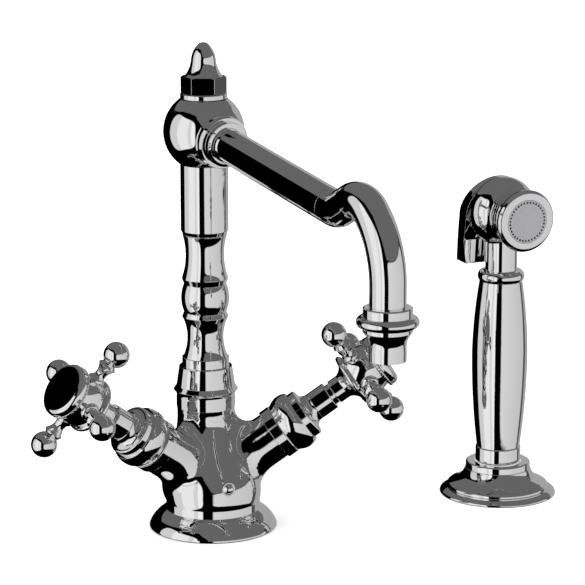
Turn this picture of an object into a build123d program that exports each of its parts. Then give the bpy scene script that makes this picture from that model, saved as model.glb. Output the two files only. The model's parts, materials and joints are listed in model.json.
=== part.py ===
"""Side spray kitchen faucet: a two-handle deck mixer with a swivelling spout and a docked hand spray.

Millimetres, +Z up. The origin is the centre of the faucet's round base on the deck, -Y points to the user,
the cold valve leans to +X and the hot valve to -X.
"""
from build123d import *
import os
from math import cos, radians, sin, sqrt

os.makedirs("parts", exist_ok=True)

# ---- fits shared by all pieces ----
fit = 0.05  # radial clearance of pieces that screw, press or turn inside one another
body_gap = 0.3  # space between faces of bodies that move past one another
edge_break = 0.4  # broken edge of turned pieces

# ---- base flange and waist of the mixer body ----
flange_radius = 32.6
flange_rim = 1.2
flange_top = 9.9
flange_bow = 1.25
waist_radius = 24.1
waist_top = 14.0
seal_inner_radius = 27.0
seal_width = 2.5
seal_depth = 2.0

# ---- neck that carries the column ----
column_setback = 10.0
neck_radius = 14.9
neck_foot = 50.0
neck_top = 61.0
shoulder_height = 24.0
shoulder_blend_height = 37.0
shoulder_blend_radius = 20.2
shoulder_blend_setback = 4.2
neck_foot_flare = 0.5
spigot_radius = 11.0
spigot_height = 8.0

# ---- valve branches ----
valve_lift = 35.43  # degrees above the deck
valve_yaw = 16.6  # degrees that each branch swings toward the user
valve_setback = 4.0
valve_height = 22.5
barrel_radius = 12.75
barrel_end = 40.7
barrel_start = 31.0
crotch_sweep = 18.0
crotch_reach = 15.3
branch_root = 10.0
branch_sections = 6
barrel_sections = 3
crotch_fillet = 6.6
crotch_edge_length = 25.0

# ---- waterways in the body ----
valve_bore_radius = 9.0
valve_bore_floor = 24.3
thread_radius = 11.15
thread_depth = 5.7
diverter_bore_radius = 8.0
diverter_bore_floor = 21.0
inlet_spacing = 22.0
inlet_y = -2.0
spray_port_y = -11.0
port_radius = 4.46
port_depth = 10.0
inlet_drill_radius = 3.2
mixing_drill_radius = 3.0
mixing_drill_height = 40.25
stud_hole_radius = 3.4
stud_hole_depth = 12.0
stud_hole_y = 11.0

# ---- front plug ----
plug_height = 25.65
plug_ring_radius = 3.35
plug_ring_height = 0.8
plug_dome_radius = 2.9
plug_dome_height = 2.1
plug_shank_radius = 2.55
plug_shank_length = 5.5
plug_seat_depth = 0.6

# ---- column collar ----
collar_ring_radius = 15.1
collar_ring_height = 5.3
collar_bead_radius = 16.5
collar_bead_rise = 3.7
collar_bead_crest = 2.3
collar_cone_foot = 15.0
collar_cone_radius = 13.56
collar_cone_height = 9.9
collar_bead_hollow = 0.6

# ---- column baluster ----
baluster_tail_radius = 9.0
baluster_foot_radius = 12.0
baluster_foot_height = 4.8
baluster_bore = 5.5
lower_waist_foot = 11.5
lower_waist_hollow = 1.9
lower_waist_height = 19.0
baluster_neck_radius = 10.8
edge_radius = 11.8
edge_half_height = 2.3
bulb_height = 14.5
bulb_bow = 1.45
upper_edge_rise = 3.1
upper_waist_hollow = 1.75
upper_waist_height = 22.4
upper_waist_top = 11.3

# ---- column sleeve and spindle ----
sleeve_radius = 12.1
sleeve_chamfer = 1.2
spindle_radius = 7.9
spindle_bore = 4.5
spindle_seat_depth = 12.3
spindle_thread_radius = 4.9
spindle_thread_length = 8.8
spindle_waist_radius = 5.8
spindle_waist_height = 11.0
spindle_port_radius = 3.0
seal_groove_radius = 6.5
seal_groove_height = 2.4
seal_spacing = 22.0

# ---- swivelling ball ----
ball_radius = 20.5
ball_height = 203.4
ball_foot = 16.3
ball_head = 16.5
bush_radius = 9.2
bush_height = 9.0
ball_bore = 8.3
ball_port_radius = 5.0

# ---- finial ----
washer_radius = 11.85
washer_height = 2.5
nut_flats = 20.0
nut_height = 8.7
nut_turn = 39.0  # degrees, one flat faces the front left
nut_chamfer_radius = 10.6
finial_shoulder_radius = 9.6
finial_neck_radius = 6.2
finial_neck_height = 8.6
finial_hollow = 0.75
finial_swell = 0.85
finial_tip_height = 7.8
finial_tip_radius = 2.0
finial_tip_rise = 0.45

# ---- spout ----
spout_yaw = 10.5  # degrees from the front toward +X in the resting pose
spout_slope = 8.7  # degrees that the straight run falls
tube_radius = 8.6
tube_wall = 1.4
collar_seat = 14.6
collar_front = 24.5
tube_seat = 3.0
spout_collar_radius = 13.45
spout_collar_rim = 2.4
spout_collar_step_radius = 11.3
spout_collar_step = 3.2
spout_collar_lip_radius = 9.8
elbow_distance = 125.5
elbow_radius = 9.0
elbow_lead = 7.0
crest_run = 20.4
crest_lift = 10.8
crest_radius = 14.5
reach = 168.0
drop_fall = 20.0
drop_radius = 42.0

# ---- outlet ring and aerator ----
outlet_top = 146.7
outlet_lip_radius = 10.9
outlet_ring_radius = 11.55
outlet_ring_height = 3.9
outlet_lip_height = 0.5
outlet_bead_radius = 14.6
outlet_bead_height = 5.2
aerator_ring_height = 2.4
aerator_radius = 8.85
aerator_cone_height = 8.4
aerator_cone_hollow = 0.9
aerator_skirt_height = 4.8
aerator_thread_radius = 9.0
aerator_thread_height = 3.4
aerator_bore = 7.3
insert_height = 5.0
insert_hole_radius = 0.9
insert_ring_radius = 4.6
outlet_seal_height = 1.0

# ---- valve pieces, stations along the valve axis ----
step_ring_radius = 13.8
step_ring_height = 5.4
bonnet_groove_radius = 13.2
bonnet_groove_height = 2.0
bonnet_bead_radius = 14.1
bonnet_bead_bow = 1.3
bonnet_bead_height = 9.2
bonnet_ring_radius = 12.9
bonnet_ring_round = 1.0
bonnet_ring_height = 4.3
bonnet_cone_height = 4.9
bonnet_cone_hollow = 1.6
stem_radius = 7.45
stem_length = 9.4
cartridge_height = 31.2
cartridge_neck_radius = 5.6
cartridge_neck_reach = 2.2
disc_radius = 7.0
disc_height = 2.4
valve_spindle_radius = 3.95
disc_port_radius = 1.7
disc_port_ring = 4.2

# ---- cross handles ----
handle_start = 78.5
handle_neck_radius = 6.45
handle_neck_height = 5.4
handle_rim_radius = 13.3
handle_rim_height = 2.7
handle_rim_bow = 0.8
handle_flare_height = 4.6
handle_flare_hollow = 1.5
handle_bulb_foot_radius = 12.2
handle_bulb_top_radius = 12.1
handle_bulb_height = 12.7
handle_bulb_bow = 0.9
handle_cavity_radius = 7.0
handle_cavity_depth = 5.0
spindle_screw_radius = 1.9
spindle_screw_length = 9.0
screw_head_radius = 3.4
screw_head_height = 2.6
screw_head_bow = 0.3
rope_ring_radius = 14.2
rope_ring_height = 1.8
cap_radius = 13.9
cap_rim_height = 0.6
cap_face_radius = 12.0
cap_height = 3.9
cap_crown = 0.7
cap_spigot_wall = 1.6
cap_spigot_length = 3.2

# ---- handle arms, distances from the valve axis ----
arm_count = 4
arm_station = 96.5
arm_turn = 18.5  # degrees from the upward direction toward the user
arm_seat = 12.0
arm_shank_radius = 2.6
arm_shank_length = 4.5
arm_foot_radius = 4.6
arm_bead_length = 2.4
arm_bead_bow = 0.5
arm_neck_radius = 3.3
arm_waist_radius = 2.9
arm_waist_reach = 5.2
arm_waist_hollow = 0.2
arm_edge_radius = 4.9
arm_edge_reach = 9.2
arm_edge_hollow = 0.3
arm_ball_radius = 6.54
arm_ball_reach = 28.7
arm_ball_neck = 3.4

# ---- diverter ----
diverter_seat_height = 44.0
diverter_seat_length = 4.0
diverter_seat_bore = 4.0
diverter_travel = 4.0
piston_head_radius = 6.4
piston_head_height = 2.0
piston_stem_radius = 1.5
piston_foot_height = 2.0
piston_foot_level = 30.0
piston_hole_radius = 1.6
piston_hole_ring = 5.0
diverter_spring_radius = 3.4
spring_wall = 0.7

# ---- side spray holder ----
spray_distance = 161.3
holder_base_radius = 30.8
holder_rim_height = 1.5
holder_rim_bow = 0.1
holder_ledge_radius = 26.6
holder_ledge_height = 3.1
holder_ledge_bow = 0.2
holder_riser_height = 2.4
holder_riser_bow = 0.6
holder_throat_radius = 17.4
holder_base_height = 13.8
holder_sweep_hollow = 1.8
holder_base_bore = 13.3
holder_thread_depth = 8.0
holder_collar_radius = 17.1
holder_collar_height = 3.7
holder_collar_bore = 12.6
holder_seal_radius = 24.0
holder_collar_round = 0.9
holder_spigot_radius = 14.6
bush_bore = 10.9
bush_length = 9.0

# ---- handset ----
tail_radius = 10.6
hose_thread_radius = 6.96
hose_thread_length = 8.0
hose_bore = 4.0
ferrule_radius = 12.0
ferrule_height = 7.9
grip_start_radius = 11.4
grip_length = 90.2
grip_belly_radius = 14.7
grip_belly_rise = 52.0
grip_lower_bow = 0.85
grip_upper_bow = 0.65
grip_end_radius = 11.3
grip_bore = 6.5
grip_spigot_length = 6.0
neck_ring_radius = 11.6
neck_ring_height = 5.9
neck_ring_bow = 1.2
spray_neck_radius = 8.4

# ---- spray head, stations along the nozzle axis ----
head_height = 153.0
head_yaw = 4.1
head_pitch = 2.4
dome_radius = 18.3
dome_back = -1.0
dome_rim = 1.1
dome_front = 10.5
dome_front_radius = 12.6
dome_bow = 1.7
head_ring_radius = 13.3
head_ring_height = 2.4
barrel_neck_radius = 11.8
barrel_neck_length = 1.8
nozzle_thread_radius = 9.9
nozzle_thread_length = 6.0
nozzle_bore = 8.5
bell_length = 11.8
bell_throat_length = 2.8
bell_radius = 16.3
bell_bow = 0.9
bell_rim_radius = 14.4
bell_rim_height = 2.5
bell_rim_bow = 0.7
face_radius = 11.4
face_thickness = 1.4
face_hole_count = 35
face_hole_ring = 10.1
face_hole_radius = 0.6

# ---- spray lever, plunger and pin ----
lever_round_radius = 18.0
lever_gap = 1.2
lever_top_thickness = 3.2
lever_length = 30.2
lever_foot_front = 11.8
lever_foot_back = 22.0
lever_half_width = 14.0
lever_shoulder = 17.5
lever_back_bow = 1.4
lever_slot_height = 9.0
lever_slot_depth = 4.3
pivot_rise = 9.5
pivot_back = 3.9
pin_radius = 1.2
lug_width = 8.4
lug_height = 6.0
lug_reach = 5.9
plunger_drop = 14.0
plunger_radius = 1.6
plunger_tip_gap = 0.45
plunger_tip_rise = 0.8
plunger_flange_radius = 3.2
plunger_flange_height = 1.5
plunger_chamber_radius = 3.4
plunger_guide_length = 3.0
head_relief_radius = 13.0
feed_radius = 3.0
feed_start = 126.0
feed_station = 6.0


def trace(*points):
    """Close an outline through the points; a third number is how far the run that ends there bows out."""
    for start, end in zip(points, points[1:] + points[:1]):
        if len(end) == 2:
            Line(start[:2], end)
        else:
            run, climb = end[0] - start[0], end[1] - start[1]
            share = end[2] / sqrt(run**2 + climb**2)
            middle = ((start[0] + end[0]) / 2 + share * climb, (start[1] + end[1]) / 2 - share * run)
            ThreePointArc(start[:2], middle, end[:2])


def turn(plane, *points, mode=Mode.ADD):
    """Turn an outline of (radius, station) points about the plane's own Y axis."""
    with BuildSketch(plane) as section:
        with BuildLine():
            trace(*points)
        make_face()
    revolve(section.sketch, axis=Axis(plane.origin, plane.y_dir), mode=mode)


def bore(plane, radius, start, end):
    """Drill along the plane's Y axis between two stations."""
    turn(plane, (0, start), (radius, start), (radius, end), (0, end), mode=Mode.SUBTRACT)


def tube(plane, inner, outer, start, end):
    """Add a plain ring about the plane's Y axis between two stations."""
    turn(plane, (inner, start), (outer, start), (outer, end), (inner, end))


def crown_bow(radius, height):
    """Bow of the run from the rim to the crown of a round dome."""
    chord = sqrt(radius**2 + height**2)
    sphere = chord**2 / (2 * height)
    return sphere - sqrt(sphere**2 - chord**2 / 4)


def round_bow(radius):
    """Bow of a quarter-round edge."""
    return radius * (1 - sqrt(1 / 2))


def upright(x, y):
    """Lathe plane of a vertical axis: X is the radius and Y the height above the deck."""
    return Plane(origin=(x, y, 0), x_dir=(1, 0, 0), z_dir=(0, -1, 0))


def aim(origin, along, across):
    """Lathe plane whose Y runs along a direction, with X across it."""
    return Plane(origin=origin, x_dir=across, z_dir=across.cross(along))


def drill_between(start, end, radius):
    """Drill from one point to another."""
    way = end - start
    side = way.cross(Vector(0, 0, 1)) if way.X or way.Y else Vector(1, 0, 0)
    bore(aim(start, way.normalized(), side.normalized()), radius, 0, way.length)


def save(name, solid):
    """Label a finished piece and write it."""
    solid.part.label = name
    export_step(solid.part, f"parts/{name}.step")


deck_axis = upright(0, 0)
column_axis = upright(0, column_setback)
spray_axis = upright(spray_distance, 0)


class Valve:
    """Axis, directions and lathe plane of one valve; side is -1 for hot and 1 for cold."""

    def __init__(self, side):
        lift, yaw = radians(valve_lift), radians(valve_yaw)
        self.out = Vector(side * cos(lift) * cos(yaw), -cos(lift) * sin(yaw), sin(lift))
        self.across = Vector(-side * sin(yaw), -cos(yaw), 0)
        self.rise = self.across.cross(self.out) * side
        self.origin = Vector(0, valve_setback, valve_height)
        self.plane = aim(self.origin, self.out, self.across)

    def point(self, station):
        """Point on the axis at a station."""
        return self.origin + self.out * station


hot_valve = Valve(-1)
cold_valve = Valve(1)
valves = {"hot": hot_valve, "cold": cold_valve}

# ======== mixer body ========
spigot_top = neck_top + spigot_height
valve_bore_top = barrel_end + 1


def disc_at(plane, radius):
    """Round section for a loft."""
    with BuildSketch(plane) as section:
        Circle(radius)
    return section.sketch


def branch(valve):
    """Loft one branch: a round barrel whose underside sweeps down into the waist."""
    sections = []
    sweep_pace = (barrel_start - branch_root) / branch_sections
    barrel_pace = (barrel_end - barrel_start) / barrel_sections
    stations = [branch_root + step * sweep_pace for step in range(branch_sections)]
    stations += [barrel_start + step * barrel_pace for step in range(barrel_sections + 1)]
    for station in stations:
        rest = min(max(barrel_start - station, 0), crotch_reach)
        under = barrel_radius + crotch_sweep - sqrt(crotch_sweep**2 - rest**2)
        radius = (barrel_radius + under) / 2
        place = valve.point(station) - valve.rise * (radius - barrel_radius)
        sections.append(disc_at(Plane(origin=place, x_dir=valve.across, z_dir=valve.out), radius))
    loft(sections)


def shoulders():
    """Loft the waist up and back into the neck of the column."""
    levels = (
        (waist_top, waist_radius, 0),
        (shoulder_height, waist_radius, 0),
        (shoulder_blend_height, shoulder_blend_radius, shoulder_blend_setback),
        (neck_foot, neck_radius + neck_foot_flare, column_setback - neck_foot_flare),
        (neck_top, neck_radius, column_setback),
    )
    loft([disc_at(Plane((0, back, height)), radius) for height, radius, back in levels])


def crotch_edges(solid):
    """Long edges where the branches meet the shoulders and the neck; the seams of the lofts are shorter."""
    curved = [edge for edge in solid.edges().filter_by(GeomType.BSPLINE) if edge.length > crotch_edge_length]
    return [edge for edge in curved if barrel_start < edge.bounding_box().max.Z < neck_foot]


with BuildPart() as mixer_body:
    turn(
        deck_axis,
        (0, 0),
        (flange_radius - edge_break, 0),
        (flange_radius, edge_break),
        (flange_radius, flange_rim),
        (waist_radius, flange_top, flange_bow),
        (waist_radius, waist_top),
        (0, waist_top),
    )
    shoulders()
    for valve in valves.values():
        branch(valve)
    fillet(crotch_edges(mixer_body), crotch_fillet)
    tube(column_axis, 0, spigot_radius, neck_top, spigot_top)
    turn(
        deck_axis,
        (seal_inner_radius, 0),
        (seal_inner_radius + seal_width, 0),
        (seal_inner_radius + seal_width, seal_depth),
        (seal_inner_radius, seal_depth),
        mode=Mode.SUBTRACT,
    )
    bore(column_axis, diverter_bore_radius, diverter_bore_floor, spigot_top)
    for side, valve in zip((-1, 1), valves.values()):
        bore(valve.plane, valve_bore_radius, valve_bore_floor, valve_bore_top)
        bore(valve.plane, thread_radius, barrel_end - thread_depth, valve_bore_top)
        port = Vector(side * inlet_spacing / 2, inlet_y, 0)
        bore(upright(port.X, port.Y), port_radius, 0, port_depth)
        drill_between(port, valve.point(valve_bore_floor + 1), inlet_drill_radius)
        drill_between(
            Vector(0, column_setback, mixing_drill_height), valve.point(barrel_start), mixing_drill_radius
        )
    bore(upright(0, spray_port_y), port_radius, 0, port_depth)
    bore(upright(0, spray_port_y), mixing_drill_radius, 0, plug_height)
    bore(upright(0, stud_hole_y), stud_hole_radius, 0, stud_hole_depth)
    plug_seat = Vector(0, -waist_radius + plug_seat_depth, plug_height)
    drill_between(plug_seat - Vector(0, plug_dome_height, 0), plug_seat, plug_ring_radius + fit)
    drill_between(plug_seat, Vector(0, column_setback, plug_height), plug_shank_radius + fit)
save("mixer_body", mixer_body)

with BuildPart() as base_seal:
    tube(deck_axis, seal_inner_radius + fit, seal_inner_radius + seal_width - fit, 0, seal_depth)
save("base_seal", base_seal)

plug_axis = aim(plug_seat, Vector(0, -1, 0), Vector(1, 0, 0))
with BuildPart() as front_plug:
    turn(
        plug_axis,
        (0, -plug_shank_length),
        (plug_shank_radius, -plug_shank_length),
        (plug_shank_radius, 0),
        (plug_ring_radius, 0),
        (plug_ring_radius, plug_ring_height),
        (plug_dome_radius, plug_ring_height),
        (0, plug_ring_height + plug_dome_height, crown_bow(plug_dome_radius, plug_dome_height)),
    )
save("front_plug", front_plug)

# ======== column ========
collar_ring_top = neck_top + collar_ring_height
collar_edge = collar_ring_top + collar_bead_rise
collar_cone_start = collar_edge + collar_bead_crest
collar_top = collar_cone_start + collar_cone_height
with BuildPart() as column_collar:
    turn(
        column_axis,
        (spigot_radius + fit, neck_top),
        (collar_ring_radius, neck_top),
        (collar_ring_radius, collar_ring_top),
        (collar_bead_radius, collar_edge, -collar_bead_hollow),
        (collar_cone_foot, collar_cone_start),
        (collar_cone_radius, collar_top),
        (baluster_tail_radius + fit, collar_top),
        (baluster_tail_radius + fit, spigot_top),
        (spigot_radius + fit, spigot_top),
    )
save("column_collar", column_collar)

foot_top = collar_top + baluster_foot_height
lower_waist_top = foot_top + lower_waist_height
lower_edge = lower_waist_top + edge_half_height
bulb_foot = lower_edge + edge_half_height
bulb_top = bulb_foot + bulb_height
upper_edge = bulb_top + upper_edge_rise
upper_waist_foot = upper_edge + edge_half_height
baluster_top = upper_waist_foot + upper_waist_height - edge_half_height
spindle_foot = baluster_top - spindle_seat_depth
with BuildPart() as column_baluster:
    turn(
        column_axis,
        (baluster_bore, spigot_top),
        (baluster_tail_radius, spigot_top),
        (baluster_tail_radius, collar_top),
        (baluster_foot_radius, collar_top),
        (baluster_foot_radius, foot_top),
        (lower_waist_foot, foot_top),
        (baluster_neck_radius, lower_waist_top, -lower_waist_hollow),
        (edge_radius, lower_edge),
        (baluster_neck_radius, bulb_foot),
        (baluster_neck_radius, bulb_top, bulb_bow),
        (edge_radius, upper_edge),
        (upper_waist_top, baluster_top, -upper_waist_hollow),
        (spindle_radius + fit, baluster_top),
        (spindle_radius + fit, spindle_foot),
        (baluster_bore, spindle_foot),
    )
save("column_baluster", column_baluster)

ball_bottom = ball_height - ball_foot
ball_top = ball_height + ball_head
sleeve_top = ball_bottom - body_gap
shoulder_top = ball_top + body_gap
with BuildPart() as column_sleeve:
    turn(
        column_axis,
        (spindle_radius + fit, baluster_top),
        (sleeve_radius - sleeve_chamfer, baluster_top),
        (sleeve_radius, baluster_top + 2 * sleeve_chamfer),
        (sleeve_radius, sleeve_top),
        (spindle_radius + fit, sleeve_top),
    )
save("column_sleeve", column_sleeve)

seal_levels = [ball_height - seal_spacing / 2, ball_height + seal_spacing / 2]
with BuildPart() as column_spindle:
    turn(
        column_axis,
        (0, spindle_foot),
        (spindle_radius, spindle_foot),
        (spindle_radius, ball_height - spindle_waist_height / 2),
        (spindle_waist_radius, ball_height - spindle_waist_height / 2),
        (spindle_waist_radius, ball_height + spindle_waist_height / 2),
        (spindle_radius, ball_height + spindle_waist_height / 2),
        (spindle_radius, shoulder_top),
        (spindle_thread_radius, shoulder_top),
        (spindle_thread_radius, shoulder_top + spindle_thread_length),
        (0, shoulder_top + spindle_thread_length),
    )
    for level in seal_levels:
        turn(
            column_axis,
            (seal_groove_radius, level - seal_groove_height / 2),
            (spindle_radius, level - seal_groove_height / 2),
            (spindle_radius, level + seal_groove_height / 2),
            (seal_groove_radius, level + seal_groove_height / 2),
            mode=Mode.SUBTRACT,
        )
    bore(column_axis, spindle_bore, spindle_foot, ball_height + spindle_waist_height / 2)
    for way in (Vector(spindle_radius, 0, 0), Vector(0, spindle_radius, 0)):
        middle = Vector(0, column_setback, ball_height)
        drill_between(middle - way, middle + way, spindle_port_radius)
save("column_spindle", column_spindle)

with BuildPart() as swivel_seals:
    for level in seal_levels:
        half = seal_groove_height / 2 - fit
        tube(column_axis, seal_groove_radius + fit, spindle_radius, level - half, level + half)
save("swivel_seals", swivel_seals)

washer_top = shoulder_top + washer_height
with BuildPart() as finial_washer:
    tube(column_axis, spindle_thread_radius + fit, washer_radius, shoulder_top, washer_top)
    fillet(finial_washer.edges().filter_by(GeomType.CIRCLE).sort_by(SortBy.RADIUS)[-2:], edge_break)
save("finial_washer", finial_washer)

nut_top = washer_top + nut_height
finial_neck = nut_top + finial_neck_height
finial_tip = finial_neck + finial_tip_height
nut_corner = nut_flats / 3**0.5
with BuildPart() as finial_nut:
    with BuildSketch(Plane((0, column_setback, washer_top))):
        with Locations(Rotation(0, 0, nut_turn)):
            RegularPolygon(nut_flats / 2, 6, major_radius=False)
    extrude(amount=nut_height)
    slope = nut_corner - nut_chamfer_radius
    turn(
        column_axis,
        (0, washer_top),
        (nut_chamfer_radius, washer_top),
        (nut_corner, washer_top + slope / 2),
        (nut_corner, nut_top - slope / 2),
        (nut_chamfer_radius, nut_top),
        (0, nut_top),
        mode=Mode.INTERSECT,
    )
    turn(
        column_axis,
        (0, nut_top),
        (finial_shoulder_radius, nut_top),
        (finial_neck_radius, finial_neck, -finial_hollow),
        (finial_tip_radius, finial_tip, finial_swell),
        (0, finial_tip + finial_tip_rise, crown_bow(finial_tip_radius, finial_tip_rise)),
    )
    bore(column_axis, spindle_thread_radius + fit, washer_top, shoulder_top + spindle_thread_length + 1)
save("finial_nut", finial_nut)

# ======== spout, turning on the column's spindle ========
yaw = radians(spout_yaw)
slope_angle = radians(spout_slope)
spout_out = Vector(sin(yaw), -cos(yaw), 0)
spout_plane = Plane((0, column_setback, 0), x_dir=spout_out, z_dir=spout_out.cross(Vector(0, 0, 1)))
ball_centre = Vector(0, column_setback, ball_height)
run_along = spout_out * cos(slope_angle) - Vector(0, 0, sin(slope_angle))
run_up = spout_out * sin(slope_angle) + Vector(0, 0, cos(slope_angle))
run_axis = aim(ball_centre, run_along, run_up)


ball_foot_radius = sqrt(ball_radius**2 - ball_foot**2)
ball_head_radius = sqrt(ball_radius**2 - ball_head**2)
ball_chord = sqrt((ball_foot + ball_head) ** 2 + (ball_head_radius - ball_foot_radius) ** 2)
ball_bulge = ball_radius - sqrt(ball_radius**2 - ball_chord**2 / 4)
with BuildPart() as spout_hub:
    turn(
        column_axis,
        (bush_radius, ball_bottom),
        (ball_foot_radius, ball_bottom),
        (ball_head_radius, ball_top, ball_bulge),
        (bush_radius, ball_top),
        (bush_radius, ball_top - bush_height),
        (ball_bore, ball_top - bush_height),
        (ball_bore, ball_bottom + bush_height),
        (bush_radius, ball_bottom + bush_height),
    )
    bore(run_axis, spout_collar_lip_radius, collar_seat, ball_radius)
    bore(run_axis, ball_port_radius, spindle_radius, ball_radius)
save("spout_hub", spout_hub)

with BuildPart() as swivel_bushes:
    for start in (ball_bottom, ball_top - bush_height):
        tube(column_axis, spindle_radius + fit, bush_radius, start, start + bush_height)
save("swivel_bushes", swivel_bushes)

tube_start = collar_seat + tube_seat
spigot_rim = spout_collar_lip_radius - fit
skirt_seat = ball_radius + fit
collar_spigot_end = sqrt(skirt_seat**2 - spigot_rim**2)
collar_skirt_end = sqrt(skirt_seat**2 - spout_collar_radius**2)
skirt_chord = sqrt((spout_collar_radius - spigot_rim) ** 2 + (collar_spigot_end - collar_skirt_end) ** 2)
skirt_bow = skirt_seat - sqrt(skirt_seat**2 - skirt_chord**2 / 4)
with BuildPart() as spout_collar:
    turn(
        run_axis,
        (ball_port_radius, collar_seat),
        (spigot_rim, collar_seat),
        (spigot_rim, collar_spigot_end),
        (spout_collar_radius, collar_skirt_end, -skirt_bow),
        (spout_collar_radius, collar_front - spout_collar_step - spout_collar_rim),
        (spout_collar_radius - edge_break, collar_front - spout_collar_step),
        (spout_collar_step_radius, collar_front - spout_collar_step),
        (spout_collar_step_radius, collar_front - edge_break),
        (spout_collar_lip_radius, collar_front),
        (tube_radius + fit, collar_front),
        (tube_radius + fit, tube_start),
        (ball_port_radius, tube_start),
    )
save("spout_collar", spout_collar)

# route of the spout in its own plane: distance from the column axis and height
elbow_height = ball_height - elbow_distance * sin(slope_angle) / cos(slope_angle)
elbow = (elbow_distance, elbow_height)
crest = (elbow_distance + crest_run, elbow_height + crest_lift)
drop = (reach, crest[1] - drop_fall)
nose_start = (elbow_distance - elbow_lead * cos(slope_angle), elbow_height + elbow_lead * sin(slope_angle))
nose_reach = nose_start[0] / cos(slope_angle)
outlet_bead_top = outlet_top - outlet_lip_height - outlet_ring_height
outlet_bottom = outlet_bead_top - outlet_bead_height
nose_end = outlet_bottom + aerator_thread_height + outlet_seal_height
with BuildPart() as spout_tube:
    tube(run_axis, tube_radius - tube_wall, tube_radius, tube_start, nose_reach)
save("spout_tube", spout_tube)

with BuildPart() as spout_nose:
    with BuildLine(spout_plane) as nose_route:
        bends = [elbow_radius, crest_radius, drop_radius]
        FilletPolyline(nose_start, elbow, crest, drop, (reach, nose_end), radius=bends)
    with BuildSketch(Plane(nose_route.line @ 0, z_dir=nose_route.line % 0)):
        Circle(tube_radius)
        Circle(tube_radius - tube_wall, mode=Mode.SUBTRACT)
    sweep()
save("spout_nose", spout_nose)

outlet_point = Vector(0, column_setback, 0) + spout_out * reach
outlet_axis = upright(outlet_point.X, outlet_point.Y)
with BuildPart() as outlet_ring:
    turn(
        outlet_axis,
        (aerator_thread_radius + fit, outlet_bottom),
        (outlet_ring_radius, outlet_bottom),
        (outlet_ring_radius, outlet_bead_top, outlet_bead_radius - outlet_ring_radius),
        (outlet_ring_radius, outlet_top - outlet_lip_height),
        (outlet_lip_radius, outlet_top),
        (tube_radius + fit, outlet_top),
        (tube_radius + fit, nose_end),
        (aerator_thread_radius + fit, nose_end),
    )
save("outlet_ring", outlet_ring)

aerator_ring_bottom = outlet_bottom - aerator_ring_height
aerator_cone_bottom = aerator_ring_bottom - aerator_cone_height
aerator_bottom = aerator_cone_bottom - aerator_skirt_height
with BuildPart() as aerator_housing:
    turn(
        outlet_axis,
        (aerator_bore, aerator_bottom),
        (aerator_radius, aerator_bottom),
        (aerator_radius, aerator_cone_bottom),
        (outlet_ring_radius - edge_break, aerator_ring_bottom, -aerator_cone_hollow),
        (outlet_ring_radius, aerator_ring_bottom + edge_break),
        (outlet_ring_radius, outlet_bottom),
        (aerator_thread_radius, outlet_bottom),
        (aerator_thread_radius, outlet_bottom + aerator_thread_height),
        (aerator_bore, outlet_bottom + aerator_thread_height),
    )
save("aerator_housing", aerator_housing)

insert_bottom = aerator_cone_bottom
with BuildPart() as aerator_insert:
    tube(outlet_axis, 0, aerator_bore - fit, insert_bottom, insert_bottom + insert_height)
    with BuildSketch(Plane((outlet_point.X, outlet_point.Y, insert_bottom))):
        Circle(insert_hole_radius)
        with PolarLocations(insert_ring_radius / 2, 6):
            Circle(insert_hole_radius)
        with PolarLocations(insert_ring_radius, 12):
            Circle(insert_hole_radius)
    extrude(amount=insert_height, mode=Mode.SUBTRACT)
save("aerator_insert", aerator_insert)

with BuildPart() as aerator_seal:
    seal_bottom = outlet_bottom + aerator_thread_height
    tube(outlet_axis, aerator_bore, aerator_thread_radius, seal_bottom, seal_bottom + outlet_seal_height)
save("aerator_seal", aerator_seal)

# ======== valves: hot and cold are mirror images ========
ring_top = barrel_end + step_ring_height
bead_foot = ring_top + bonnet_groove_height
bead_top = bead_foot + bonnet_bead_height
bonnet_ring_top = bead_top + bonnet_ring_height
bonnet_top = bonnet_ring_top + bonnet_cone_height
cartridge_shoulder = valve_bore_floor + cartridge_height
stem_top = bonnet_top + stem_length
cartridge_top = stem_top + cartridge_neck_reach
cup_depth = 2 * disc_height + 3 * fit
spindle_flange = valve_bore_floor + cup_depth


def ported_disc(valve, start, height, radius):
    """Ceramic disc with two water ports, one on each side of its centre."""
    with BuildPart() as disc:
        tube(valve.plane, 0, radius, start, start + height)
        for way in (-1, 1):
            centre = valve.point(start) + valve.across * (way * disc_port_ring)
            drill_between(centre, centre + valve.out * height, disc_port_radius)
    return disc


def bonnet_ring(valve):
    """Plain step ring between the barrel and the bonnet."""
    with BuildPart() as ring:
        tube(valve.plane, thread_radius + fit, step_ring_radius, barrel_end + fit, ring_top)
    return ring


def bonnet(valve):
    """Threaded bonnet with its round bead, second ring and hollow cone."""
    with BuildPart() as cover:
        turn(
            valve.plane,
            (valve_bore_radius + fit, barrel_end - thread_depth),
            (thread_radius - fit, barrel_end - thread_depth),
            (thread_radius - fit, ring_top),
            (bonnet_groove_radius, ring_top),
            (bonnet_bead_radius, bead_foot),
            (bonnet_bead_radius, bead_top, bonnet_bead_bow),
            (bonnet_ring_radius, bead_top),
            (bonnet_ring_radius, bonnet_ring_top - bonnet_ring_round),
            (bonnet_ring_radius - bonnet_ring_round, bonnet_ring_top, round_bow(bonnet_ring_round)),
            (stem_radius, bonnet_top, -bonnet_cone_hollow),
            (cartridge_neck_radius + fit, bonnet_top),
            (cartridge_neck_radius + fit, cartridge_shoulder),
            (valve_bore_radius + fit, cartridge_shoulder),
        )
    return cover


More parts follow.
